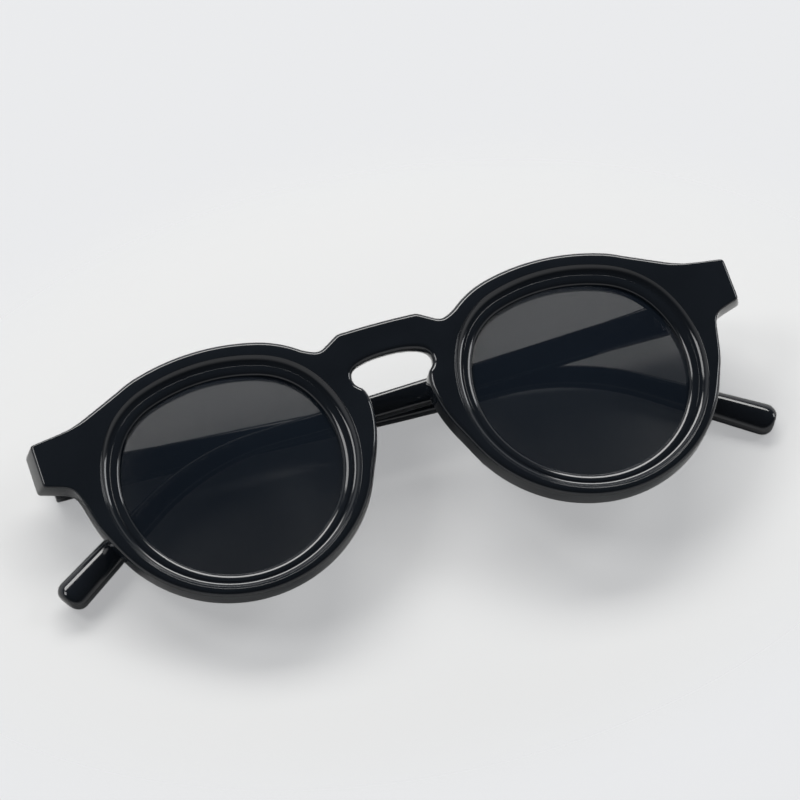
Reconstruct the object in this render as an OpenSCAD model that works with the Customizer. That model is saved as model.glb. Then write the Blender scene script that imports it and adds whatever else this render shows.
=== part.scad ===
// Round sunglasses, folded: acetate front with stepped rims and a keyhole bridge,
// two tinted lenses in grooves, two bent temples on five-knuckle hinges.
// Everything is drawn in the wearer's frame (x right, y up, z out of the front)
// and laid down at the end on its folded temples.

/* [Front] */
// overall width across the endpieces before the front is curved
front_w = 145; // [141:1:149]
// thickness of the front
front_t = 5; // [4.4:0.2:6]
// distance between the lens centres before the front is curved
lens_pitch = 73; // [71:0.5:75]
// sine of the angle by which each half is turned back
wrap_sine = 0.07584; // [0.04:0.00001:0.1]
// radius of the curve in the bridge bar
bend_r = 72.5; // [56:0.5:90]

/* [Lens opening] */
// radius of the two upper corner arcs
open_r = 15; // [14:0.1:16]
// sideways distance of the corner arcs' centres from the lens centre
open_cx = 6; // [5:0.1:7]
// height of the corner arcs' centres above the lens centre
open_cy = 4; // [3.4:0.1:4.6]
// how far the lower arc's centre lies below the corner arcs' centres
open_low = 3.2; // [2:0.1:4]
// how far the top arc's centre lies below the corner arcs' centres
open_top = 17.5; // [14:0.5:24]

/* [Rim] */
// radius of the outer corner arcs
rim_r = 21.8; // [21.2:0.1:22.6]
// sideways distance of their centres from the lens centre
rim_cx = 6.3; // [5.8:0.1:7]
// height of their centres above the lens centre
rim_cy = 3.8; // [3.4:0.1:4.4]
// how far the lower arc's centre lies below them
rim_low = 1.6; // [1:0.1:3]
// how far the top arc's centre lies below them
rim_top = 21.6; // [18:0.2:26]
// width of the thin lip next to the lens
lip_w = 0.6; // [0.4:0.1:0.9]
// depth of the lip's edge below the front face
lip_drop = 2; // [1.7:0.1:2.3]
// width from the opening to the end of the sloped band
band_w = 1.8; // [1.4:0.1:2.2]
// depth of the band's end below the front face
band_drop = 1.2; // [0.9:0.1:1.4]
// width from the opening to the crease where the flat land begins
crease_w = 3.7; // [3.2:0.1:4.1]

/* [Bridge] */
// height of the bridge's top edge
bridge_up = 21.3; // [20.5:0.1:22.2]
// height of the top of the keyhole
keyhole_up = 13.1; // [12.2:0.1:14]
// half length of the level part of the top edge
bridge_flat = 8.3; // [7.6:0.1:9]
// distance of the small valley beside the bridge from the middle
valley_x = 12.6; // [12:0.1:13.2]
// height of that valley
valley_y = 18.9; // [18.2:0.1:19.6]
// half width of the keyhole at its widest
keyhole_half = 8.8; // [8.2:0.1:9.3]
// half width at the nose bumps
nose_half = 6.1; // [5.4:0.1:7]
// radius of each nose bump
nose_r = 9.6; // [8:0.2:11]
// height of the nose bumps' centres
nose_y = 4.9; // [3.5:0.1:6]

/* [Endpieces] */
// how much wider each endpiece is at its back than at its front face
end_flare = 1.5; // [0.5:0.1:2.5]
// height of the upper corner
end_up = 16.9; // [15.8:0.1:18]
// height of the lower corner
end_low = 8.5; // [7.6:0.1:9]
// distance of the dip in the top edge from the middle
dip_x = 64.4; // [63:0.1:66]
// height of that dip
dip_y = 18.1; // [17.4:0.1:18.8]
// distance of the inner end of the lower edge from the middle
under_x = 67.3; // [66.6:0.1:68]
// height of the inner end of the lower edge
under_y = 6.2; // [5:0.1:7]

/* [Lenses] */
// thickness of each lens
lens_t = 2; // [1.6:0.1:2.2]
// radius of the lens's front surface
lens_r = 130; // [90:5:260]
// depth of the lens's front edge below the front face
lens_set = 2.1; // [1.9:0.1:2.4]
// reach of the rib around the lens
rib_w = 0.5; // [0.3:0.1:0.7]
// thickness of that rib
rib_t = 0.6; // [0.4:0.1:0.8]
// gap around the lens and its rib
lens_gap = 0.05; // [0.02:0.01:0.1]

/* [Nose pads] */
// radius of the pad's round section
pad_r = 2; // [1.8:0.1:2.3]
// distance of the pad's middle line outwards from the opening
pad_out = 3.4; // [3.2:0.1:4.4]
// how far the section's centre lies behind the front
pad_back = 1.1; // [0.8:0.1:1.4]
// first angle of the pad around the lens centre
pad_from = 160; // [154:1:170]
// last angle of the pad around the lens centre
pad_to = 204; // [196:1:212]

/* [Hinges] */
// distance of the hinge screws inwards from the endpieces' outer faces
hinge_in = 4.5; // [4:0.1:5]
// height of the hinge's middle
hinge_y = 11.8; // [11.2:0.1:12.4]
// distance of the pin behind the front
hinge_back = 2.5; // [2.2:0.1:2.8]
// diameter of the knuckles
knuckle_d = 2.9; // [2.4:0.1:3.1]
// height of one knuckle
knuckle_h = 1.06; // [0.9:0.02:1.1]
// gap between neighbouring knuckles
knuckle_gap = 0.06; // [0.04:0.01:0.12]
// diameter of the screw's shank
screw_d = 1.2; // [1:0.1:1.4]
// gap around the shank in the turning knuckles
screw_gap = 0.05; // [0.02:0.01:0.08]
// diameter of the screw's head
head_d = 2.3; // [2:0.1:2.6]
// thickness of both leaves
leaf_t = 0.8; // [0.6:0.1:1]
// length of the leaf in the front
front_leaf_l = 8; // [7:0.5:9]
// length of the leaf in the temple
temple_leaf_l = 9.5; // [8:0.5:11]
// diameter of the small anchor pins
pin_d = 1; // [0.8:0.1:1.2]
// length of the anchor pins
pin_l = 2.3; // [1.8:0.1:2.4]
// gap around fixed metal pieces
seat_gap = 0.04; // [0.02:0.01:0.08]

/* [Temples] */
// thickness of the temples
temple_t = 3.2; // [3:0.1:3.4]
// distance of the temple's inner face from the pin
temple_off = 1.75; // [1.65:0.05:2]
// height at the hinge end
temple_h0 = 7.3; // [6.6:0.1:8]
// height a little behind the hinge
temple_h1 = 5.7; // [5.4:0.1:6.2]
// height in the middle
temple_h2 = 5; // [4.6:0.1:5.4]
// height through the bend
temple_h3 = 4; // [3.9:0.1:4.6]
// height just after the bend
temple_hb = 5.3; // [4.6:0.1:5.8]
// height at the tip
temple_h4 = 6.8; // [6:0.1:7.2]
// height of the temple's middle line at the pin
temple_y = 12.3; // [12:0.1:12.6]
// how far the temple drops along its length, degrees
drop = 2.3; // [1.5:0.1:2.6]
// distance from the pin to the start of the bend
bend_at = 93.6; // [92:0.2:96]
// length of the bend
bend_l = 28; // [22:1:32]
// angle of the bend, degrees
bend_a = 31; // [28:0.5:35]
// length of the straight tip after the bend
tip_l = 26; // [22:1:30]
// corner radius of the tip
tip_r = 2.4; // [1.5:0.1:2.8]
// how far the rear half curves inwards at the tip
curl = 2.8; // [1.5:0.1:3]
// diameter of the core wire
wire_d = 1.1; // [0.8:0.1:1.4]

/* [Fold] */
// turn of the left temple from the line of the front, degrees
fold_left = 2.5; // [2.3:0.1:3.4]
// turn of the right temple from the line of the front, degrees
fold_right = -0.9; // [-1:0.1:-0.5]
// turn of both temples when they are fully open, degrees
fold_open = 93; // [90:0.5:95]

/* [Output] */
// which sub-part to draw

/* [Hidden] */
$fn = 96;
acetate = [0.06, 0.06, 0.07];
pad_col = [0.1, 0.1, 0.11];
smoke = [0.2, 0.24, 0.28, 0.8];
steel = [0.75, 0.76, 0.78];
// turn and shift of the folded glasses as they lie
rest_turn = [6.94, -2.635, 0];
rest_shift = [-0.65, -0.808, 19.284];
// angle by which each half is turned back and half width of the curved zone
wrap = asin(wrap_sine);
bend_half = bend_r * wrap * PI / 180;
// places of the lens centre and of the endpiece's outer face before the front is curved
lens_x = lens_pitch / 2;
end_x = front_w / 2;
hinge_x = end_x - hinge_in;
// half width of the opening
open_half = open_r + open_cx;
// reach of the cutting sectors
far = 100;

// An egg-shaped outline of four tangent arcs: corner radius, sideways and upward place of the
// corner arcs' centres, and how far below them the lower and the top arc are centred
opening = [open_r, open_cx, open_cy, open_low, open_top];
rim = [rim_r, rim_cx, rim_cy, rim_low, rim_top];

// its four arcs: [centre, radius, sector that the arc fills]
function arcs_of(e) = let (lo = [e[1], e[3]], hi = [e[1], e[4]])
  let (lo2 = [-lo[0], lo[1]], hi2 = [-hi[0], hi[1]]) [
  [[0, e[2] - e[3]], e[0] + norm(lo), [[0, 0], 12 * lo2, [-far, -far], [far, -far], 12 * lo]],
  [[e[1], e[2]], e[0], [[0, 0], 12 * lo, [far, far], 5 * hi]],
  [[-e[1], e[2]], e[0], [[0, 0], 5 * hi2, [-far, far], 12 * lo2]],
  [[0, e[2] - e[4]], e[0] + norm(hi), [[0, 0], 5 * hi, 5 * hi2]]];

// filled outline
module egg(e) {
  for (a = arcs_of(e)) translate(a[0]) intersection() {
    circle(a[1]);
    polygon(a[2]);
  }
}

// a body turned about each arc's centre, kept to that arc's sector
module egg_turned(e, section) {
  for (a = arcs_of(e)) intersection() {
    slab(-30, 30) translate(a[0]) polygon(a[2]);
    translate([a[0][0], a[0][1], 0])
      rotate_extrude($fn = 180) polygon([for (p = section) [p[0] == -1 ? 0 : p[0] + a[1], p[1]]]);
  }
}

// flat plate from one depth to another
module slab(z0, z1) {
  translate([0, 0, z0]) linear_extrude(z1 - z0) children();
}

// moves a flat-drawn right half to its place on the curved front
module half_right() {
  translate([0, 0, -bend_r]) rotate([0, wrap, 0]) translate([-bend_half, 0, bend_r]) children();
}

module half_left() {
  mirror([1, 0, 0]) half_right() children();
}

// lays the whole folded object down
module laid() {
  translate(rest_shift) rotate(rest_turn) children();
}

// FRONT

// outline of the right half of the front, before the curve and without its opening
module half_outline() {
  translate([lens_x, 0]) egg(rim);
  polygon([[lens_x + 25, -1], [under_x - 4.4, under_y - 14.2], [under_x - 2.4, under_y - 9.2],
    [under_x - 1.4, under_y - 4.7], [under_x - 0.8, under_y - 1.6], [under_x, under_y],
    [end_x + end_flare + 1, end_low + 0.3], [end_x + end_flare + 1, end_up], [dip_x + 2.2, dip_y - 0.25],
    [dip_x, dip_y + 0.12], [dip_x - 2.2, dip_y + 0.95], [52, 23.5], [lens_x + 13, 8]]);
  polygon([[bend_half, keyhole_up], [keyhole_half - 1.5, keyhole_up],
    [keyhole_half - 0.5, keyhole_up - 0.6], [keyhole_half, keyhole_up - 1.8],
    [keyhole_half - 0.2, keyhole_up - 2.8], [keyhole_half + 1, nose_y + 4], [lens_x - 18, 8],
    [lens_x - 19, 21.2], [valley_x + 2, valley_y + 0.6], [valley_x + 0.6, valley_y],
    [valley_x - 0.4, valley_y + 0.1], [bridge_flat, bridge_up], [bend_half, bridge_up]]);
  translate([nose_half + nose_r, nose_y]) circle(nose_r);
}

// depths of the rib around the lens and of its groove
rib_z = -lens_set - lens_t / 2 + 0.1;
groove = [rib_z - rib_t / 2 - lens_gap, rib_z + rib_t / 2 + lens_gap];

// section of the opening, outwards from the lens edge: hole, groove, lip, sloped band, cove, crease
rim_cut = [[-1, -front_t - 1], [0, -front_t - 1], [0, groove[0]], [rib_w + lens_gap, groove[0]],
  [rib_w + lens_gap, groove[1]], [0, groove[1]], [0, -lip_drop], [lip_w, -lip_drop + 0.55],
  [band_w, -band_drop + 0.1], [band_w + 0.1, -band_drop], [(band_w + crease_w) / 2 + 0.2, -band_drop * 0.72],
  [crease_w - 0.35, -band_drop * 0.36], [crease_w, 0], [crease_w, 1], [-1, 1]];

module half_front() {
  difference() {
    slab(-front_t, 0) half_outline();
    translate([lens_x, 0, 0]) egg_turned(opening, rim_cut);
    front_leaf_seat();
    translate([end_x, 0, 0]) rotate([0, -atan(end_flare / front_t), 0])
      translate([0, -far, -far]) cube(2 * far);
  }
}

module bridge_curve() {
  edge = far * [wrap_sine, -cos(wrap)];
  translate([0, 0, -bend_r]) rotate([-90, 0, 0]) intersection() {
    slab(keyhole_up - 1, bridge_up + 1) polygon([[0, 0], [-edge[0], edge[1]], edge]);
    rotate_extrude($fn = 720)
      translate([bend_r - front_t, keyhole_up]) square([front_t, bridge_up - keyhole_up]);
  }
}

module frame_front() {
  color(acetate) laid() {
    half_right() half_front();
    half_left() half_front();
    bridge_curve();
  }
}

// NOSE PADS

// five balls along an arc around the lens, wrapped and cut flat against the front
module pad_shape() {
  intersection() {
    hull() for (i = [0:4])
      translate([lens_x, 0, -front_t - pad_back])
        rotate([0, 0, pad_from + (pad_to - pad_from) * i / 4])
          translate([open_half + pad_out, 0, 0]) sphere(pad_r, $fn = 32);
    translate([0, -far / 2, -front_t - far]) cube(far);
  }
}

module nose_pad_left() { color(pad_col) laid() half_left() pad_shape(); }
module nose_pad_right() { color(pad_col) laid() half_right() pad_shape(); }

// LENSES

lens_sag = lens_r - sqrt(lens_r * lens_r - open_half * open_half);
dome_z = lens_sag - lens_set - lens_r;
// section of the lens blank outwards from the lens edge, with the rib
lens_blank = [[-1, -8], [-lens_gap, -8], [-lens_gap, rib_z - rib_t / 2], [rib_w, rib_z - rib_t / 2],
  [rib_w, rib_z + rib_t / 2], [-lens_gap, rib_z + rib_t / 2], [-lens_gap, 3], [-1, 3]];

module lens_shape() {
  translate([lens_x, 0, 0]) intersection() {
    egg_turned(opening, lens_blank);
    translate([0, 0, dome_z]) difference() {
      sphere(lens_r, $fn = 240);
      sphere(lens_r - lens_t, $fn = 240);
    }
  }
}

module lens_left() { color(smoke) laid() half_left() lens_shape(); }
module lens_right() { color(smoke) laid() half_right() lens_shape(); }

// HINGES

stack_h = 5 * knuckle_h + 4 * knuckle_gap;
step_h = knuckle_h + knuckle_gap;
pin_z = -front_t - hinge_back;
leaf_h = stack_h - 0.1;
front_pin_x = [hinge_x - 3.4, hinge_x - 7.2];
temple_pin_a = [3.6, 8];

// round bar along y, from height y0 up
module bar_y(d, y0, h) {
  translate([0, y0, 0]) rotate([-90, 0, 0]) cylinder(d = d, h = h);
}

// the knuckles of one leaf: even numbers on the front, odd ones on the temple
module knuckles(first, bore) {
  for (i = [first:2:4]) {
    y0 = hinge_y - stack_h / 2 + i * step_h;
    difference() {
      union() {
        bar_y(knuckle_d, y0, knuckle_h);
        translate([0, y0, 0]) children();
      }
      bar_y(bore, y0 - 1, knuckle_h + 2);
    }
  }
}

module front_leaf_shape() {
  translate([hinge_x, 0, pin_z])
    knuckles(0, screw_d + 2 * seat_gap)
      translate([-1.6, 0, 0]) cube([1.6, knuckle_h, hinge_back + leaf_t]);
  difference() {
    translate([hinge_x - 1.3 - front_leaf_l, hinge_y - leaf_h / 2, -front_t])
      cube([front_leaf_l, leaf_h, leaf_t]);
    for (x = front_pin_x) translate([x, hinge_y, -front_t - 1]) cylinder(d = pin_d + 2 * seat_gap, h = 3);
  }
}

// room for the leaf and its pins in the back of the front
module front_leaf_seat() {
  translate([hinge_x - 1.3 - front_leaf_l - seat_gap, hinge_y - stack_h / 2 - seat_gap, -front_t - 1])
    cube([front_leaf_l + 1.3 + 2 * seat_gap, stack_h + 2 * seat_gap, 1 + leaf_t + seat_gap]);
  for (x = front_pin_x) translate([x, hinge_y, -front_t])
    cylinder(d = pin_d + 2 * seat_gap, h = pin_l + seat_gap);
}

// small headed pin along +z, its head below z = 0
module pin_shape() {
  cylinder(d = pin_d, h = pin_l);
  translate([0, 0, -0.3]) cylinder(d = pin_d * 1.7, h = 0.3);
}

module screw_shape() {
  translate([hinge_x, 0, pin_z]) {
    bar_y(screw_d, hinge_y - stack_h / 2, stack_h);
    difference() {
      bar_y(head_d, hinge_y + stack_h / 2, 0.5);
      translate([-head_d, hinge_y + stack_h / 2 + 0.25, -0.15]) cube([2 * head_d, 1, 0.3]);
    }
  }
}

module hinge_front_leaf_left() { color(steel) laid() half_left() front_leaf_shape(); }
module hinge_front_leaf_right() { color(steel) laid() half_right() front_leaf_shape(); }
module front_pin(n) { translate([front_pin_x[n], hinge_y, -front_t]) pin_shape(); }
module front_pin_outer_left() { color(steel) laid() half_left() front_pin(0); }
module front_pin_outer_right() { color(steel) laid() half_right() front_pin(0); }
module front_pin_inner_left() { color(steel) laid() half_left() front_pin(1); }
module front_pin_inner_right() { color(steel) laid() half_right() front_pin(1); }
module hinge_screw_left() { color(steel) laid() half_left() screw_shape(); }
module hinge_screw_right() { color(steel) laid() half_right() screw_shape(); }

// TEMPLES, drawn from the pin: x along the temple, y up, -z away from the front

bend_rad = bend_l / (bend_a * PI / 180);
tip_from = [bend_at + bend_rad * sin(bend_a), -bend_rad * (1 - cos(bend_a))];
temple_end = tip_from[0] + tip_l * cos(bend_a) + 1;
miter = fold_open - 90 + wrap;
curl_from = 60;
wire_from = 12;
wire_to = bend_at - 4;

// inward set of the temple at a distance from the pin
function set_at(a) = curl * max(a - curl_from, 0) / (temple_end - curl_from);
plan_at = [-6, curl_from, temple_end + 2];

// half height of the straight part, then points round the bend and the tip
bend_steps = 10;
function bend_h(i) = temple_h3 + (temple_hb - temple_h3) * i / bend_steps;
function bend_point(i, side) = let (t = bend_a * i / bend_steps, r = bend_rad + side * bend_h(i) / 2)
  [bend_at + r * sin(t), -bend_rad + r * cos(t)];
function tip_point(x, y) = tip_from + [x * cos(bend_a) + y * sin(bend_a), -x * sin(bend_a) + y * cos(bend_a)];
function tip_corner(side) = [for (i = [0:5]) let (t = 90 * i / 5)
  tip_point(tip_l - tip_r + tip_r * sin(t), side * (temple_h4 / 2 - tip_r + tip_r * cos(t)))];
function turned(list) = [for (i = [len(list) - 1:-1:0]) list[i]];
function straight(side) = [[-6, side * temple_h0 / 2], [0, side * temple_h0 / 2],
  [20, side * temple_h1 / 2], [70, side * temple_h2 / 2]];

module temple_side() {
  polygon(concat(straight(-1), [for (i = [0:bend_steps]) bend_point(i, -1)], tip_corner(-1),
    turned(tip_corner(1)), [for (i = [bend_steps:-1:0]) bend_point(i, 1)], turned(straight(1))));
}

module temple_plan() {
  n = len(plan_at) - 1;
  polygon(concat([for (a = plan_at) [a, -temple_off - temple_t + set_at(a)]],
    [for (i = [n:-1:0]) [plan_at[i], -temple_off + set_at(plan_at[i])]]));
}

// the temple's own slope
module dropped() {
  translate([0, temple_y, 0]) rotate([0, 0, -drop]) children();
}

module temple_shape() {
  difference() {
    intersection() {
      dropped() slab(-temple_off - temple_t - 1, 6) temple_side();
      translate([0, far, 0]) rotate([90, 0, 0]) linear_extrude(2 * far) temple_plan();
      rotate([0, -miter, 0]) translate([-hinge_back + 0.1, -far, -far]) cube([3 * far, 2 * far, 2 * far]);
    }
    translate([-0.3, hinge_y - stack_h / 2 - seat_gap, -temple_off - leaf_t - seat_gap])
      cube([temple_leaf_l + 0.3 + seat_gap, stack_h + 2 * seat_gap, 3]);
    for (a = temple_pin_a) translate([a, hinge_y, -temple_off - pin_l - seat_gap])
      cylinder(d = pin_d + 2 * seat_gap, h = pin_l);
    dropped() wire_bar(wire_d + 2 * seat_gap, 0.3);
  }
}

module wire_bar(d, extra) {
  translate([wire_from - extra, 0, -temple_off - temple_t / 2])
    rotate([0, 90, 0]) cylinder(d = d, h = wire_to - wire_from + 2 * extra);
}

module temple_leaf_shape() {
  knuckles(1, screw_d + 2 * screw_gap)
    translate([0, 0, -temple_off - leaf_t]) cube([1.6, knuckle_h, temple_off + leaf_t]);
  difference() {
    translate([0, hinge_y - leaf_h / 2, -temple_off - leaf_t]) cube([temple_leaf_l, leaf_h, leaf_t]);
    for (a = temple_pin_a) translate([a, hinge_y, -temple_off - 2]) cylinder(d = pin_d + 2 * seat_gap, h = 3);
  }
}

// puts a temple piece on its pin, folded
module on_left() {
  laid() half_left() mirror([1, 0, 0]) translate([-hinge_x, 0, pin_z]) rotate([0, fold_left + wrap, 0]) children();
}

module on_right() {
  laid() half_right() translate([hinge_x, 0, pin_z]) mirror([1, 0, 0]) rotate([0, fold_right + wrap, 0]) children();
}

module temple_pin(n) { translate([temple_pin_a[n], hinge_y, -temple_off]) rotate([180, 0, 0]) pin_shape(); }
module temple_left() { color(acetate) on_left() temple_shape(); }
module temple_right() { color(acetate) on_right() temple_shape(); }
module hinge_temple_leaf_left() { color(steel) on_left() temple_leaf_shape(); }
module hinge_temple_leaf_right() { color(steel) on_right() temple_leaf_shape(); }
module temple_pin_near_left() { color(steel) on_left() temple_pin(0); }
module temple_pin_near_right() { color(steel) on_right() temple_pin(0); }
module temple_pin_far_left() { color(steel) on_left() temple_pin(1); }
module temple_pin_far_right() { color(steel) on_right() temple_pin(1); }
module core_wire_left() { color(steel) on_left() dropped() wire_bar(wire_d, 0); }
module core_wire_right() { color(steel) on_right() dropped() wire_bar(wire_d, 0); }

frame_front();
nose_pad_left();
nose_pad_right();
lens_left();
lens_right();
hinge_front_leaf_left();
hinge_front_leaf_right();
front_pin_inner_left();
front_pin_inner_right();
front_pin_outer_left();
front_pin_outer_right();
hinge_screw_left();
hinge_screw_right();
temple_left();
temple_right();
hinge_temple_leaf_left();
hinge_temple_leaf_right();
temple_pin_near_left();
temple_pin_near_right();
temple_pin_far_left();
temple_pin_far_right();
core_wire_left();
core_wire_right();
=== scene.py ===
import math
import bmesh
import bpy
import numpy as np
from mathutils import Matrix, Vector
from mathutils.geometry import delaunay_2d_cdt


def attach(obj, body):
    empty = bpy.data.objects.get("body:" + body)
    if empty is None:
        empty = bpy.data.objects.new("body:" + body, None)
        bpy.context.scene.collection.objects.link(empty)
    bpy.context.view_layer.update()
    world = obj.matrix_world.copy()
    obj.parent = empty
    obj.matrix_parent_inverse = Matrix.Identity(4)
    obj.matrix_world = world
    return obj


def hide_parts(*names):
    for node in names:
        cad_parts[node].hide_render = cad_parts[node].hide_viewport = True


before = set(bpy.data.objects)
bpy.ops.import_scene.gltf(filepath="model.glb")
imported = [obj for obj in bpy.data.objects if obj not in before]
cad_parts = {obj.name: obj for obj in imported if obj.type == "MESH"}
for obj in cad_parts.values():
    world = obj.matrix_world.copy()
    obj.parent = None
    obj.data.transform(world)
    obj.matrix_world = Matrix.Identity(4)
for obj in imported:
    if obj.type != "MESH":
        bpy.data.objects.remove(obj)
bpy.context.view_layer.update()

# Sizes in millimetres: x across from the middle of the bridge, y up, z forward from the front face

# front: width over both endpieces, thickness, and distance of the lens centres, before it is curved
FRONT_W = 145.0
FRONT_T = 5.0
LENS_PITCH = 73.0
# sine of the angle by which each half is turned back, and radius of the curved bar between them
WRAP_SINE = 0.07584
BEND_R = 72.5
# outlines of four tangent arcs: two upper corners of radius r around (cx, cy), an arc below them
# whose centre lies low under cy, and an arc above them whose centre lies top under cy
OPENING = dict(r=15.0, cx=6.0, cy=4.0, low=3.2, top=17.5)
RIM = dict(r=21.8, cx=6.3, cy=3.8, low=1.6, top=21.6)
# steps around an opening: depth of the lip beside it, width of the ring that runs over the lip,
# depth of the hollow step outside the ring, and distance of the outer crease from the opening
LIP_DROP = 2.0
BAND_W = 1.8
BAND_DROP = 1.2
CREASE_W = 3.7
# bridge: height of its top edge, half length of that edge's level part, the valley beside it
BRIDGE_UP = 21.3
BRIDGE_FLAT = 8.3
VALLEY = (12.6, 18.9)
# slot under the bridge: height of its top and half width in the solid, and how deep and how wide
# its wall leans back
KEY_UP = 13.1
KEY_HALF = 8.8
LEAN_DEPTH = 3.9
LEAN_WIDTH = 3.0
# arcs beside the nose: distance from the middle, radius and height of the centre
NOSE_HALF = 6.1
NOSE_R = 9.6
NOSE_Y = 4.9
# endpieces: height of the upper and the lower corner, widening towards the back and the run over
# which it grows, the dip in the upper edge, and the inner end of the lower edge
END_UP = 16.9
END_LOW = 8.5
END_FLARE = 1.5
FLARE_RUN = 5.0
DIP = (64.4, 18.1)
UNDER = (67.3, 6.2)
# lenses: thickness, radius of the curve, depth of the edge, reach beyond the opening
LENS_T = 2.0
LENS_R = 130.0
LENS_SET = 2.1
LENS_OVER = 0.25
# nose pads: radius, distance from the opening, depth behind the front, and the angles around the
# lens between which they run
PAD_R = 2.0
PAD_OUT = 3.4
PAD_BACK = 1.1
PAD_FROM = 160.0
PAD_TO = 204.0
# hinge axes: distance from the outer face of the endpiece and from the back of the front
HINGE_IN = 4.5
HINGE_BACK = 2.5
# temples: thickness, distance of the inner side from the hinge axis, height of the middle line at
# the axis, and its drop in degrees
TEMPLE_T = 3.2
TEMPLE_OFF = 1.75
TEMPLE_Y = 12.3
DROP = 2.3
# bend behind the ear: start, length, angle
BEND_AT = 93.6
BEND_L = 28.0
BEND_A = 31.0
# heights: at places up to the bend, after the bend, at the tip
HEIGHT_AT = (0, 20, 70, BEND_AT)
HEIGHTS = (7.3, 5.7, 5.0, 4.0)
BENT_H = 5.3
TIP_H = 6.8
# tip: length, corner radius, how much it thins, and over what length
TIP_L = 26.0
TIP_R = 2.4
THIN_BY = 1.5
THIN_RUN = 1.1
# inward curl: reach 1 mm past the tip, start, and half length of the rounded start
CURL = 2.8
CURL_FROM = 60.0
CURL_SOFT = 12
# turns of the temples from the line of the front when folded and open, in degrees
FOLD_LEFT = 2.5
FOLD_RIGHT = -0.9
FOLD_OPEN = 93.0
# turns and shift of the folded glasses as they lie
REST_TURN = (6.94, -2.635)
REST_SHIFT = (-0.65, -0.808, 19.284)
# depth of the visible back of the front and sides of the temples under those of the solids
SKIN = 0.03

# spacing of the points of the outer edge, and points around the openings, the lenses, the pads and
# the sections of the temples
OUTLINE_STEP = 0.3
OPENING_POINTS = 288
LENS_POINTS = 192
PAD_POINTS = 28
SECTION_POINTS = 32
# points closer to each other than this, in metres, become one
MERGE_M = 2e-6

WRAP = math.asin(WRAP_SINE)
BEND_HALF = BEND_R * WRAP
LENS_X = LENS_PITCH / 2
END_X = FRONT_W / 2
BACK_Z = -FRONT_T + SKIN
OPEN_HALF = OPENING["r"] + OPENING["cx"]
HINGE_X = END_X - HINGE_IN
PIN_Z = -FRONT_T - HINGE_BACK
# slopes of the endpieces' edges, and their heights at the outer face
LOW_SLOPE = (END_LOW + 0.3 - UNDER[1]) / (END_X + END_FLARE + 1 - UNDER[0])
UP_SLOPE = (END_UP - DIP[1] + 0.25) / (END_X + END_FLARE - 1.2 - DIP[0])
LOW_CORNER = UNDER[1] + LOW_SLOPE * (END_X - UNDER[0])
UP_CORNER = END_UP - UP_SLOPE * (END_FLARE + 1)
# radius of the bend, slant of the temple's head, and the far end of the tip
BEND_RAD = BEND_L / math.radians(BEND_A)
MITER = math.radians(FOLD_OPEN - 90) + WRAP
TIP_X = BEND_AT + BEND_RAD * math.sin(math.radians(BEND_A)) + TIP_L * math.cos(math.radians(BEND_A))


def turn(axis, degrees):
    return np.array(Matrix.Rotation(math.radians(degrees), 3, axis))


LAID = turn("Y", REST_TURN[1]) @ turn("X", REST_TURN[0])


def laid(p):
    """Points of the wearer's frame in mm to the resting frame in metres."""
    return (np.asarray(p, float) @ LAID.T + np.array(REST_SHIFT)) / 1000


def curved(p):
    """Flat-drawn points of the front put on the curved front."""
    p = np.array(p, float).reshape(-1, 3)
    s, x, z = np.sign(p[:, 0]), np.abs(p[:, 0]), p[:, 2]
    a = np.minimum(x, BEND_HALF) / BEND_R
    run = np.maximum(x - BEND_HALF, 0)
    out = p.copy()
    out[:, 0] = s * ((BEND_R + z) * np.sin(a) + run * np.cos(a))
    out[:, 2] = (BEND_R + z) * np.cos(a) - BEND_R - run * np.sin(a)
    return out


def rising(values, start, width):
    """Shares that go from 0 to 1 over that width from the start, towards lower values if it is negative."""
    return np.clip((values - start) / width, 0, 1)


def flared(p):
    """Points of the front with the endpieces widened towards the back."""
    p = np.array(p, float)
    share = rising(np.abs(p[:, 0]) - END_X, -FLARE_RUN, FLARE_RUN)
    dx = END_FLARE * (-p[:, 2] / FRONT_T) * share * share * (3 - 2 * share)
    p[:, 0] += np.sign(p[:, 0]) * dx
    p[:, 1] += dx * np.interp(p[:, 1], [LOW_CORNER, UP_CORNER], [LOW_SLOPE, UP_SLOPE])
    return p


def egg(e, normal, off=0.0):
    """Points of an outline of four arcs at those directions of its normal, widened by off."""
    normal = np.asarray(normal, float) % (2 * math.pi)
    low, high = np.array([e["cx"], e["low"]]), np.array([e["cx"], e["top"]])
    a_low, a_high = math.atan2(low[1], low[0]), math.atan2(high[1], high[0])
    out = np.zeros((len(normal), 2))
    for i, t in enumerate(normal):
        if a_high < t < math.pi - a_high:
            c, r = (0.0, e["cy"] - e["top"]), e["r"] + np.linalg.norm(high)
        elif t < a_low or t > math.pi - a_low:
            c, r = (0.0, e["cy"] - e["low"]), e["r"] + np.linalg.norm(low)
        else:
            c, r = (math.copysign(e["cx"], math.cos(t)), e["cy"]), e["r"]
        out[i] = (c[0] + (r + off) * math.cos(t), c[1] + (r + off) * math.sin(t))
    return out


def distance_along(p):
    """Distance of each point from the first one, along the line through all of them."""
    return np.concatenate([[0], np.cumsum(np.linalg.norm(np.diff(p, axis=0), axis=1))])


def egg_angles(e, n):
    """Directions of the normal that space n points of an outline evenly."""
    fine = np.linspace(0, 2 * math.pi, 4001)
    run = distance_along(egg(e, fine))
    return np.interp(np.arange(n) * run[-1] / n, run, fine)


# Meshes

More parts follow.
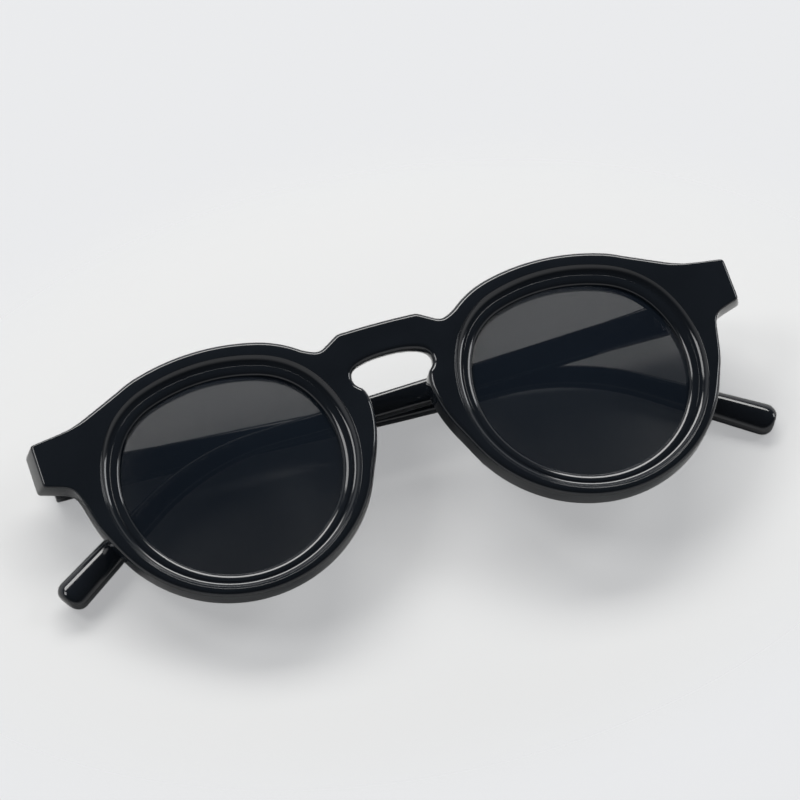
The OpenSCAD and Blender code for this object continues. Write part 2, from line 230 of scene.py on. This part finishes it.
def mesh_object(name, verts, faces, sharp=38.0):
    """An object with smooth faces and sharp edges above that angle in degrees."""
    me = bpy.data.meshes.new(name)
    me.from_pydata([tuple(v) for v in verts], [], faces)
    me.validate()
    bm = bmesh.new()
    bm.from_mesh(me)
    bmesh.ops.remove_doubles(bm, verts=bm.verts, dist=MERGE_M)
    bmesh.ops.recalc_face_normals(bm, faces=bm.faces)
    bm.to_mesh(me)
    bm.free()
    me.shade_smooth()
    me.set_sharp_from_angle(angle=math.radians(sharp))
    ob = bpy.data.objects.new(name, me)
    bpy.context.scene.collection.objects.link(ob)
    return ob


def strips(rows, n, first=0):
    """Faces between closed rings of n points that follow one another from the first point on."""
    faces = []
    for a in range(first, first + (rows - 1) * n, n):
        for i in range(n):
            j = (i + 1) % n
            faces.append((a + i, a + j, a + n + j, a + n + i))
    return faces


def capped(rows, n):
    """Faces of a tube of such rings, closed at both ends."""
    last = (rows - 1) * n
    return strips(rows, n) + [tuple(range(n)), tuple(range(last, last + n))]


def inside(poly, pts):
    """Which points lie inside a closed polygon."""
    poly, pts = np.asarray(poly, float), np.asarray(pts, float)
    x, y = pts[:, 0], pts[:, 1]
    hit = np.zeros(len(pts), bool)
    for (x0, y0), (x1, y1) in zip(poly, np.roll(poly, -1, axis=0)):
        cross = (y0 > y) != (y1 > y)
        with np.errstate(divide="ignore", invalid="ignore"):
            at = (x1 - x0) * (y - y0) / (y1 - y0) + x0
        hit ^= cross & (x < at)
    return hit


def vectors(points):
    return [Vector((float(a), float(b))) for a, b in points]


def filled(outer, holes, chains):
    """Triangles of the area between an outer loop and its holes, with edges along the chains."""
    pts, edges = [], []
    for loop in [outer] + holes:
        n, k = len(loop), len(pts)
        pts += vectors(loop)
        edges += [(k + i, k + (i + 1) % n) for i in range(n)]
    for chain in chains:
        k = len(pts)
        pts += vectors(chain)
        edges += [(k + i, k + i + 1) for i in range(len(chain) - 1)]
    co, _, tris, _, _, _ = delaunay_2d_cdt(pts, edges, [], 0, 1e-7)
    co = np.array([tuple(v) for v in co])
    tris = np.array([t for t in tris if len(t) == 3])
    mid = co[tris].mean(axis=1)
    keep = inside(outer, mid)
    for hole in holes:
        keep &= ~inside(hole, mid)
    return co, tris[keep]


def spaced(loop):
    """A closed loop with points at even steps."""
    loop = np.vstack([loop, loop[:1]])
    run = distance_along(loop)
    n = int(round(run[-1] / OUTLINE_STEP))
    at = np.arange(n) * run[-1] / n
    return np.stack([np.interp(at, run, loop[:, k]) for k in range(2)], axis=1)


def eased(values, sigma):
    """Values at the points of such a loop, smoothed over sigma millimetres."""
    values = np.asarray(values, float)
    flat = values.ndim == 1
    v = values.reshape(len(values), -1)
    n = len(v)
    k = np.minimum(np.arange(n), n - np.arange(n)) * OUTLINE_STEP
    w = np.exp(-0.5 * (k / sigma) ** 2)
    w /= w.sum()
    out = np.real(np.fft.ifft(np.fft.fft(v, axis=0) * np.fft.fft(w)[:, None], axis=0))
    return out[:, 0] if flat else out


# Front: the outer edge is the outline of these overlapping shapes of each half

def endpiece_shape():
    x, y = UNDER
    below = [(LENS_X + 25, -1), (x - 4.4, y - 14.2), (x - 2.4, y - 9.2), (x - 1.4, y - 4.7),
             (x - 0.8, y - 1.6), UNDER]
    x, y = DIP
    above = [(x + 2.2, y - 0.25), (x, y + 0.12), (x - 2.2, y + 0.95), (52, 23.5), (LENS_X + 13, 8)]
    return np.array(below + [(END_X, LOW_CORNER), (END_X, UP_CORNER)] + above)


def slot_edge():
    """Half of the slot's arched edge, from the middle of the bridge to its end beside the nose."""
    edge = [(0, 1.35), (2.5, 1.3), (4.6, 1.05), (6.4, 0.6), (7.6, 0), (8.25, -0.9), (8.4, -2.1), (8.2, -3.1),
            (7.6, -3.9), (6.95, -4.3)]
    return [(x, KEY_UP + up) for x, up in edge]


def bridge_shape():
    x, y = VALLEY
    outside = [(KEY_HALF + 1, KEY_UP - 4.6), (LENS_X - 18, 8), (LENS_X - 19, 21.2)]
    top = [(x + 2, y + 0.6), (x + 0.6, y), (x - 0.4, y + 0.1), (BRIDGE_FLAT, BRIDGE_UP), (0, BRIDGE_UP)]
    return np.array(slot_edge() + outside + top)


def nose_shape(arc):
    """The arc beside the nose, kept clear of the slot's end, which is the last five points of its edge."""
    nose = np.stack([NOSE_HALF + NOSE_R + NOSE_R * np.cos(arc), NOSE_Y + NOSE_R * np.sin(arc)], axis=1)
    end_x, end_y = np.array(slot_edge()[:4:-1]).T
    nose[:, 0] = np.maximum(nose[:, 0], np.interp(nose[:, 1], end_y, end_x, left=0, right=0))
    return nose


def cheek_shape():
    """The fill of the dent between the nose and the rim."""
    return np.array([(NOSE_HALF + 0.25, 2.8), (20, 2.8), (20, -9.5), (11.0, -9.5), (NOSE_HALF + 2.1, -4.0),
                     (NOSE_HALF + 0.8, -0.4)])


def front_outline():
    """The outer edge of both halves as one closed loop."""
    arc = np.linspace(0, 2 * math.pi, 241)[:-1]
    rim = egg(RIM, arc) + (LENS_X, 0)
    shapes = [rim, endpiece_shape(), bridge_shape(), nose_shape(arc), cheek_shape()]
    pts, faces = [], []
    for side in (1, -1):
        for shape in shapes:
            loop = (shape * (side, 1))[::side]
            faces.append(list(range(len(pts), len(pts) + len(loop))))
            pts += vectors(loop)
    co, _, tris, _, _, _ = delaunay_2d_cdt(pts, [], faces, 1, 1e-5)
    uses = {}
    for t in tris:
        for i in range(len(t)):
            e = (t[i], t[(i + 1) % len(t)])
            uses.setdefault((min(e), max(e)), []).append(e)
    # an edge of one triangle alone lies on an outline
    after = dict(e[0] for e in uses.values() if len(e) == 1)
    loops = []
    while after:
        start, at = next(iter(after.items()))
        del after[start]
        loop = [start]
        while at in after:
            loop.append(at)
            at = after.pop(at)
        loops.append(loop)
    return np.array([tuple(co[i]) for i in max(loops, key=len)])


def soft_outline():
    """The outer edge at even steps, softer beside the nose and under the endpieces."""
    loop = spaced(eased(spaced(front_outline()), 0.42))
    beside_nose = rising(np.abs(loop[:, 0]), 14, -3) * rising(loop[:, 1], 7, -3)
    loop = loop + (eased(loop, 1.6) - loop) * beside_nose[:, None]
    x, y = np.abs(loop[:, 0]), loop[:, 1]
    under_end = rising(x, 71, -2) * rising(x, 62, 2) * rising(y, 11, -2) * (y > -4)
    loop = loop + (eased(loop, 1.1) - loop) * eased(under_end, 0.6)[:, None]
    return spaced(loop)


def edge_directions(loop):
    """Outward normal of the loop at each point, and how tightly it bends outwards there."""
    tangent = np.roll(loop, -2, axis=0) - np.roll(loop, 2, axis=0)
    tangent /= np.linalg.norm(tangent, axis=1)[:, None]
    normal = np.stack([tangent[:, 1], -tangent[:, 0]], axis=1)
    angle = np.unwrap(np.arctan2(tangent[:, 1], tangent[:, 0]))
    bend = (np.roll(angle, -2) - np.roll(angle, 2) + math.pi) % (2 * math.pi) - math.pi
    area = np.sum(loop[:, 0] * np.roll(loop[:, 1], -1) - np.roll(loop[:, 0], -1) * loop[:, 1])
    way = 1 if area > 0 else -1
    return normal * way, bend / (4 * OUTLINE_STEP) * way


def rounding(bend, most):
    """Radius of the rounded edge: the most, or a share of the radius of a tighter bend, eased."""
    bend_share = 0.72
    r = np.minimum(bend_share / np.maximum(bend, 1e-3), most)
    narrowest = np.min([np.roll(r, k) for k in range(-6, 7)], axis=0)
    return np.minimum(eased(narrowest, 0.8), r)


def edge_rings(loop):
    """Points and heights of the rings of the outer wall, round at the front and back edge."""
    normal, bend = edge_directions(loop)
    x, y = np.abs(loop[:, 0]), loop[:, 1]
    # the edges are rounded less at the endpieces
    near_end = rising(x, 63, 4)
    front_r = rounding(bend, 1.1 - 0.6 * near_end)
    back_r = rounding(bend, 0.8 - 0.3 * near_end)
    # the wall under the bridge leans back, away from the nose
    lean = rising(x, KEY_HALF + 1.6, -1.5) * rising(y, 8.5, 2) * (y < KEY_UP + 2)
    lean = eased(lean, 0.9)
    back_d = back_r + (LEAN_DEPTH - back_r) * lean
    back_r = back_r + (LEAN_WIDTH - back_r) * lean
    quarter = [math.radians(90 * k / 6) for k in range(7)]
    rings = []
    for t in quarter:
        edge = loop - normal * (front_r * (1 - math.sin(t)))[:, None]
        rings.append((edge, -front_r * 0.95 * (1 - math.cos(t))))
    for t in quarter:
        edge = loop - normal * (back_r * (1 - math.cos(t)))[:, None]
        rings.append((edge, BACK_Z + back_d * (1 - math.sin(t))))
    return rings


def opening_section():
    """Distance from the opening and height along the steps, from the crease inwards and back."""
    cove_from, cove_w = 1.95, CREASE_W - 1.95
    crease = [(CREASE_W + 0.1, 0.0), (CREASE_W + 0.03, -0.012), (CREASE_W - 0.02, -0.05)]
    cove = [(cove_from + cove_w * u, -BAND_DROP * (1 - u * u)) for u in np.linspace(0.985, 0, 9)]
    ring_from = [(1.86, -1.17), (BAND_W, -1.1)]
    quarter = np.radians(np.linspace(7, 90, 14))
    ring = [(BAND_W * (1 - math.sin(q)), -LIP_DROP - 0.1 + math.cos(q)) for q in quarter]
    wall = [(0, -3.4), (0, BACK_Z + 0.35), (0.1, BACK_Z + 0.1), (0.35, BACK_Z)]
    return crease + cove + ring_from + ring + wall


def build_front():
    rings = edge_rings(soft_outline())
    verts = list(np.vstack([np.column_stack([p, z]) for p, z in rings]))
    faces = strips(len(rings), len(rings[0][0]))

    section = opening_section()
    around = egg_angles(OPENING, OPENING_POINTS)
    creases, backs = [], []
    for side in (1, -1):
        edges = [(egg(OPENING, around, off) + (LENS_X, 0)) * (side, 1) for off, z in section]
        faces += strips(len(section), OPENING_POINTS, len(verts))
        for edge, (off, z) in zip(edges, section):
            verts += list(np.column_stack([edge, np.full(OPENING_POINTS, z)]))
        creases.append(edges[0])
        backs.append(edges[-1])

    # flat front and back, with cross lines over the height of the bridge in the curved zone
    for edge, z, holes, low in ((rings[0][0], 0.0, creases, 2.9), (rings[-1][0], BACK_Z, backs, 4.8)):
        heights = np.linspace(KEY_UP + low, BRIDGE_UP - 1.4, 5)
        lines = [[(BEND_HALF * k / 6, y) for y in heights] for k in range(-6, 7)]
        co, tris = filled(edge, holes, lines)
        first = len(verts)
        verts += list(np.column_stack([co, np.full(len(co), z)]))
        faces += [tuple(int(i) + first for i in t) for t in tris]
    return mesh_object("front_acetate", laid(curved(flared(np.array(verts)))), faces, sharp=40)


def build_lens(side, word):
    """A curved shell: on each face a middle point with rings around it, then the rim."""
    n = LENS_POINTS
    edge = egg(OPENING, egg_angles(OPENING, n), LENS_OVER)
    sag = LENS_R - math.sqrt(LENS_R ** 2 - OPEN_HALF ** 2)
    middle = sag - LENS_SET - LENS_R
    shares = np.linspace(0, 1, 13)[1:]
    verts, faces = [], []
    for r in (LENS_R, LENS_R - LENS_T):
        first = len(verts)
        verts.append(np.array([LENS_X * side, 0, middle + r]))
        for share in shares:
            p = edge * share
            z = middle + np.sqrt(r * r - (p ** 2).sum(axis=1))
            verts += list(np.column_stack([(p[:, 0] + LENS_X) * side, p[:, 1], z]))
        faces += [(first, first + 1 + i, first + 1 + (i + 1) % n) for i in range(n)]
        faces += strips(len(shares), n, first + 1)
    front = 1 + (len(shares) - 1) * n
    back = front + 1 + len(shares) * n
    for i in range(n):
        j = (i + 1) % n
        faces.append((front + i, front + j, back + j, back + i))
    return mesh_object("lens_" + word, laid(curved(np.array(verts))), faces)


def build_pad(side, word):
    """A round bar along the nose side of the opening, with domed ends."""
    path = [(PAD_FROM, t) for t in np.linspace(-90, 0, 8)[:-1]]
    path += [(a, 0) for a in np.linspace(PAD_FROM, PAD_TO, 20)]
    path += [(PAD_TO, t) for t in np.linspace(0, 90, 8)[1:]]
    start = np.array([LENS_X, 0, -FRONT_T - PAD_BACK])
    verts = []
    for place, dome in path:
        a, t = math.radians(place), math.radians(dome)
        out = np.array([math.cos(a), math.sin(a), 0])
        along = np.array([-math.sin(a), math.cos(a), 0])
        centre = start + out * (OPEN_HALF + PAD_OUT) + along * PAD_R * math.sin(t)
        r = PAD_R * max(math.cos(t), 0.02)
        for q in np.arange(PAD_POINTS) * 2 * math.pi / PAD_POINTS:
            p = centre + out * r * math.cos(q) + np.array([0, 0, 1]) * r * math.sin(q)
            verts.append(p * (side, 1, 1))
    return mesh_object("pad_" + word, laid(curved(np.array(verts))), capped(len(path), PAD_POINTS))


# Temples: drawn along x from the hinge axis, then folded onto their side of the front

def set_at(x):
    """Inward lean of the temple at that distance from the hinge, with its start rounded."""
    slope, run = CURL / (TIP_X + 1 - CURL_FROM), x - CURL_FROM
    if abs(run) < CURL_SOFT:
        return slope * (run + CURL_SOFT) ** 2 / (4 * CURL_SOFT)
    return slope * max(run, 0)


def stations():
    """Centre, direction and half height along the temple, in its own side view."""
    out = []
    for x in [0.35, 1.0, 3, 8, 14] + list(np.arange(20, BEND_AT, 3.0)) + [BEND_AT]:
        out.append(((x, 0.0), 0.0, np.interp(x, HEIGHT_AT, HEIGHTS) / 2))
    for t in np.linspace(0, BEND_A, 15)[1:]:
        a = math.radians(t)
        h = (HEIGHTS[-1] + (BENT_H - HEIGHTS[-1]) * t / BEND_A) / 2
        out.append(((BEND_AT + BEND_RAD * math.sin(a), -BEND_RAD * (1 - math.cos(a))), a, h))
    a, (cx, cy) = math.radians(BEND_A), out[-1][0]
    straight = list(np.linspace(0, TIP_L - TIP_R, 10)[1:])
    corner = [TIP_L - TIP_R * (1 - math.sin(q)) for q in np.radians([12, 25, 38, 50, 60, 70, 79])]
    for s in straight + corner:
        h = np.interp(s, [0, TIP_L - TIP_R], [BENT_H, TIP_H]) / 2
        if s > TIP_L - TIP_R:
            h = TIP_H / 2 - TIP_R + math.sqrt(TIP_R ** 2 - (s - TIP_L + TIP_R) ** 2)
        out.append(((cx + s * math.cos(a), cy - s * math.sin(a)), a, h))
    return out


def section_ring(h, t, power, crown):
    """Pillow section: up by depth, rounder as the power falls, with a higher crown on the inner side."""
    pts = []
    for k in range(SECTION_POINTS):
        a = 2 * math.pi * (k + 0.5) / SECTION_POINTS
        c, s = math.cos(a), math.sin(a)
        size = (abs(c) ** power + abs(s) ** power) ** (-1 / power)
        pts.append((h * c * size, t / 2 * ((1 + math.copysign(crown, s)) * s * size - crown)))
    return pts


def temple_rings():
    """Points of all rings of a temple, from its slanted head to the tip."""
    drop = turn("Z", -DROP)
    thick = TEMPLE_T - 2 * SKIN
    verts = []

    def ring(centre, a, h, t, power, crown=0.0, behind=None):
        """Adds a ring, which follows the slant of the head where a distance behind it is given."""
        for up, depth in section_ring(h, t, power, crown):
            p = np.array([centre[0] + up * math.sin(a), centre[1] + up * math.cos(a), 0.0])
            p = drop @ p + np.array([0, TEMPLE_Y, 0])
            z = -TEMPLE_OFF - TEMPLE_T / 2 + depth
            if behind is not None:
                p[0] = (-HINGE_BACK + 0.1 - z * math.sin(MITER)) / math.cos(MITER) + behind
            p[2] = z + set_at(p[0])
            verts.append(p)

    for inset, power, behind in ((0.3, 7, 0.0), (0.09, 7.5, 0.09), (0, 8, 0.3)):
        ring((0, 0), 0, HEIGHTS[0] / 2 - inset, thick - 2 * inset, power, behind=behind)
    for centre, a, h in stations():
        x = centre[0]
        power = np.interp(x, [0, 50, BEND_AT, BEND_AT + 26], [8, 5, 3, 2])
        crown = np.interp(x, [50, BEND_AT, BEND_AT + 26], [0, 0.2, 0.6])
        share = max(x - TIP_X + THIN_RUN, 0) / THIN_RUN
        t = thick - THIN_BY * (1 - math.sqrt(max(1 - share ** 2, 0)))
        ring(centre, a, h, t, power, crown)
    return np.array(verts)


def build_temple(side, word):
    fold = FOLD_LEFT if side < 0 else FOLD_RIGHT
    v = temple_rings()
    faces = capped(len(v) // SECTION_POINTS, SECTION_POINTS)
    v = v @ turn("Y", fold + math.degrees(WRAP)).T
    v = v * (-1, 1, 1) + (HINGE_X, 0, PIN_Z)
    # onto the turned-back half
    x, z = v[:, 0] - BEND_HALF, v[:, 2] + BEND_R
    v[:, 0] = (x * math.cos(WRAP) + z * math.sin(WRAP)) * side
    v[:, 2] = -x * math.sin(WRAP) + z * math.cos(WRAP) - BEND_R
    return mesh_object("arm_" + word, laid(v), faces, sharp=50)


# Materials

def node_material(name):
    mat = bpy.data.materials.new(name)
    mat.use_nodes = True
    return mat, mat.node_tree, mat.node_tree.nodes["Principled BSDF"]


def noise(nt, scale, detail, seed):
    coords = nt.nodes.new("ShaderNodeTexCoord")
    shift = nt.nodes.new("ShaderNodeMapping")
    shift.inputs["Location"].default_value = (seed, seed * 0.7, seed * 0.3)
    grain = nt.nodes.new("ShaderNodeTexNoise")
    grain.inputs["Scale"].default_value = scale
    grain.inputs["Detail"].default_value = detail
    nt.links.new(coords.outputs["Object"], shift.inputs["Vector"])
    nt.links.new(shift.outputs["Vector"], grain.inputs["Vector"])
    return grain.outputs["Fac"]


def ranged(nt, source, span, low, high, kind="LINEAR"):
    """The source's values over that span, brought between low and high."""
    node = nt.nodes.new("ShaderNodeMapRange")
    node.interpolation_type = kind
    for socket, value in (("From Min", span[0]), ("From Max", span[1]), ("To Min", low), ("To Max", high)):
        node.inputs[socket].default_value = value
    nt.links.new(source, node.inputs["Value"])
    return node.outputs["Result"]


def mixed(nt, share, c1, c2):
    node = nt.nodes.new("ShaderNodeMix")
    node.data_type = "RGBA"
    node.inputs[6].default_value = (*c1, 1)
    node.inputs[7].default_value = (*c2, 1)
    nt.links.new(share, node.inputs[0])
    return node.outputs[2]


def bumped(nt, surface, height, strength, distance):
    node = nt.nodes.new("ShaderNodeBump")
    node.inputs["Strength"].default_value = strength
    node.inputs["Distance"].default_value = distance
    nt.links.new(height, node.inputs["Height"])
    nt.links.new(node.outputs["Normal"], surface.inputs["Normal"])


def varied(nt, surface, broad, fine, tones, rough):
    """A colour between two tones by the broad noise, a roughness between two by the fine one."""
    middle = (0.35, 0.65)
    nt.links.new(mixed(nt, ranged(nt, broad, middle, 0, 1), *tones), surface.inputs["Base Color"])
    nt.links.new(ranged(nt, fine, middle, *rough), surface.inputs["Roughness"])


def acetate(name, seed):
    mat, nt, surface = node_material(name)
    broad, fine = noise(nt, 60, 3, seed), noise(nt, 900, 5, seed + 1)
    varied(nt, surface, broad, fine, ((0.0066, 0.0086, 0.0118), (0.0086, 0.011, 0.0148)), (0.08, 0.115))
    surface.inputs["IOR"].default_value = 1.48
    bumped(nt, surface, broad, 0.03, 0.0002)
    return mat


def lens_glass(name, seed):
    mat, nt, surface = node_material(name)
    broad, fine = noise(nt, 35, 2, seed), noise(nt, 700, 4, seed + 2)
    varied(nt, surface, broad, fine, ((0.0055, 0.009, 0.015), (0.007, 0.0112, 0.018)), (0.1, 0.13))
    surface.inputs["Alpha"].default_value = 0.7
    surface.inputs["IOR"].default_value = 1.5
    return mat


def steel(name, seed, tone, rough):
    mat, nt, surface = node_material(name)
    broad, fine = noise(nt, 400, 4, seed), noise(nt, 2500, 3, seed + 3)
    light = tuple(c * 1.08 for c in tone)
    varied(nt, surface, broad, fine, (tone, light), (rough - 0.06, rough + 0.08))
    surface.inputs["Metallic"].default_value = 1.0
    bumped(nt, surface, fine, 0.15, 0.00002)
    return mat


ACETATE = acetate("black_acetate", 1.0)
PAD_MAT = acetate("pad_acetate", 4.0)
LENS_MAT = lens_glass("smoke_lens", 2.0)
HINGE_MAT = steel("hinge_metal", 3.0, (0.60, 0.60, 0.61), 0.28)
SCREW_MAT = steel("screw_metal", 5.0, (0.68, 0.68, 0.69), 0.2)
WIRE_MAT = steel("wire_metal", 6.0, (0.55, 0.55, 0.56), 0.35)


def painted(ob, mat):
    ob.data.materials.clear()
    ob.data.materials.append(mat)


def dress(ob, mat, body, node):
    painted(ob, mat)
    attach(ob, body)
    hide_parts(node)


dress(build_front(), ACETATE, "front", "frame_front")
for side, word in ((-1, "left"), (1, "right")):
    dress(build_lens(side, word), LENS_MAT, "front", "lens_" + word)
    dress(build_pad(side, word), PAD_MAT, "front", "nose_pad_" + word)
    dress(build_temple(side, word), ACETATE, word + "_arm", "temple_" + word)

# the solids that no mesh replaces are the metal pieces
for name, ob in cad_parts.items():
    if not ob.hide_render:
        painted(ob, WIRE_MAT if "wire" in name else SCREW_MAT if "screw" in name else HINGE_MAT)

# Camera: turns and shift of the glasses in its view, pixels per millimetre at their distance,
# focal length and image size in pixels
CAM_TURN = (16.4364, -24.0355, 4.4304)
CAM_SHIFT = (2.0147, -3.1168)
PX_MM = 5.1084
FOCAL_PX = 5126.0
IMAGE_PX = 800
SENSOR_MM = 36
seen = turn("Y", CAM_TURN[2]) @ turn("X", CAM_TURN[1]) @ turn("Z", CAM_TURN[0])
eye = laid(seen.T @ (np.array([0, 0, FOCAL_PX / PX_MM]) - np.array([*CAM_SHIFT, 0])))
axes = LAID @ seen.T
cam_data = bpy.data.cameras.new("camera")
cam_data.sensor_width = SENSOR_MM
cam_data.lens = FOCAL_PX * SENSOR_MM / IMAGE_PX
cam_data.clip_start = 0.05
cam_data.clip_end = 20
cam = bpy.data.objects.new("camera", cam_data)
cam.matrix_world = Matrix([(*axes[i], eye[i]) for i in range(3)] + [(0, 0, 0, 1)])
bpy.context.scene.collection.objects.link(cam)
bpy.context.scene.camera = cam


# Floor

def joined(nt, kind, a, b):
    """A value worked out from two others, each a socket or a number."""
    node = nt.nodes.new("ShaderNodeMath")
    node.operation = kind
    for k, value in enumerate((a, b)):
        if isinstance(value, (int, float)):
            node.inputs[k].default_value = value
        else:
            nt.links.new(value, node.inputs[k])
    return node.outputs[0]


def away(nt, spot, stretch, near, far, low, high):
    """A value that rises with the distance from the glasses, across the floor."""
    scaled = nt.nodes.new("ShaderNodeVectorMath")
    scaled.operation = "MULTIPLY"
    scaled.inputs[1].default_value = (1, stretch, 1)
    nt.links.new(spot, scaled.inputs[0])
    length = nt.nodes.new("ShaderNodeVectorMath")
    length.operation = "LENGTH"
    nt.links.new(scaled.outputs["Vector"], length.inputs[0])
    return ranged(nt, length.outputs["Value"], (near, far), low, high, "SMOOTHSTEP")


def floor_material():
    """Fades into the backdrop far out, and lets some of it through near the glasses."""
    mat, nt, surface = node_material("pale_floor")
    surface.inputs["Base Color"].default_value = (0.84, 0.84, 0.83, 1)
    surface.inputs["Roughness"].default_value = 0.8
    surface.inputs["Specular IOR Level"].default_value = 0.0
    clear = nt.nodes.new("ShaderNodeBsdfTransparent")
    both = nt.nodes.new("ShaderNodeMixShader")
    rays = nt.nodes.new("ShaderNodeLightPath")
    spot = nt.nodes.new("ShaderNodeTexCoord").outputs["Object"]
    open_air = joined(nt, "LESS_THAN", rays.outputs["Transparent Depth"], 0.5)
    direct = joined(nt, "MULTIPLY", rays.outputs["Is Camera Ray"], open_air)
    beside = away(nt, spot, stretch=1.6, near=0.085, far=0.13, low=0.42, high=0.92)
    far_out = away(nt, spot, stretch=1, near=0.12, far=0.42, low=0, high=1)
    seen_through = joined(nt, "MULTIPLY", direct, beside)
    nt.links.new(joined(nt, "MAXIMUM", seen_through, far_out), both.inputs[0])
    nt.links.new(surface.outputs["BSDF"], both.inputs[1])
    nt.links.new(clear.outputs["BSDF"], both.inputs[2])
    nt.links.new(both.outputs[0], nt.nodes["Material Output"].inputs["Surface"])
    return mat


# half the floor's width and its height in metres, just under the tips that touch it
FLOOR_HALF = 0.6
FLOOR_Z = -0.0002
floor_mesh = bpy.data.meshes.new("floor")
corners = [(x * FLOOR_HALF, y * FLOOR_HALF, FLOOR_Z) for x, y in ((-1, -1), (1, -1), (1, 1), (-1, 1))]
floor_mesh.from_pydata(corners, [], [(0, 1, 2, 3)])
floor_mesh.materials.append(floor_material())
floor = bpy.data.objects.new("floor", floor_mesh)
bpy.context.scene.collection.objects.link(floor)

# Backdrop: pale near the horizon under a dark ceiling
world = bpy.data.worlds.new("studio")
bpy.context.scene.world = world
world.use_nodes = True
sky = world.node_tree
backdrop = sky.nodes["Background"]
split = sky.nodes.new("ShaderNodeSeparateXYZ")
sky.links.new(sky.nodes.new("ShaderNodeTexCoord").outputs["Generated"], split.inputs[0])
level = ranged(sky, split.outputs["Z"], (0.15, 0.55), 0.84, 0.04, "SMOOTHSTEP")
sky.links.new(level, backdrop.inputs["Strength"])
backdrop.inputs["Color"].default_value = (0.97, 0.98, 1.0, 1)


# Lamps

def soft_box(name, toward, distance, size, power, tint=(1, 1, 1)):
    """A soft box in that direction from the glasses, facing them."""
    data = bpy.data.lights.new(name, "AREA")
    data.shape = "RECTANGLE"
    data.size, data.size_y = size
    data.energy = power
    data.color = tint
    ob = bpy.data.objects.new(name, data)
    bpy.context.scene.collection.objects.link(ob)
    ob.location = Vector(toward).normalized() * distance
    ob.rotation_mode = "QUATERNION"
    ob.rotation_quaternion = ob.location.to_track_quat("Z", "Y")


soft_box("key", (0.07, 0.76, 0.65), 1.3, (1.4, 0.38), 17.0, (1.0, 0.995, 0.98))
soft_box("right_box", (0.83, 0.15, 0.54), 1.2, (0.45, 0.35), 3.2, (0.96, 0.98, 1.0))
soft_box("left_box", (-0.57, 0.37, 0.73), 1.3, (0.5, 0.45), 4.6)
bpy.context.scene.view_settings.view_transform = "Standard"
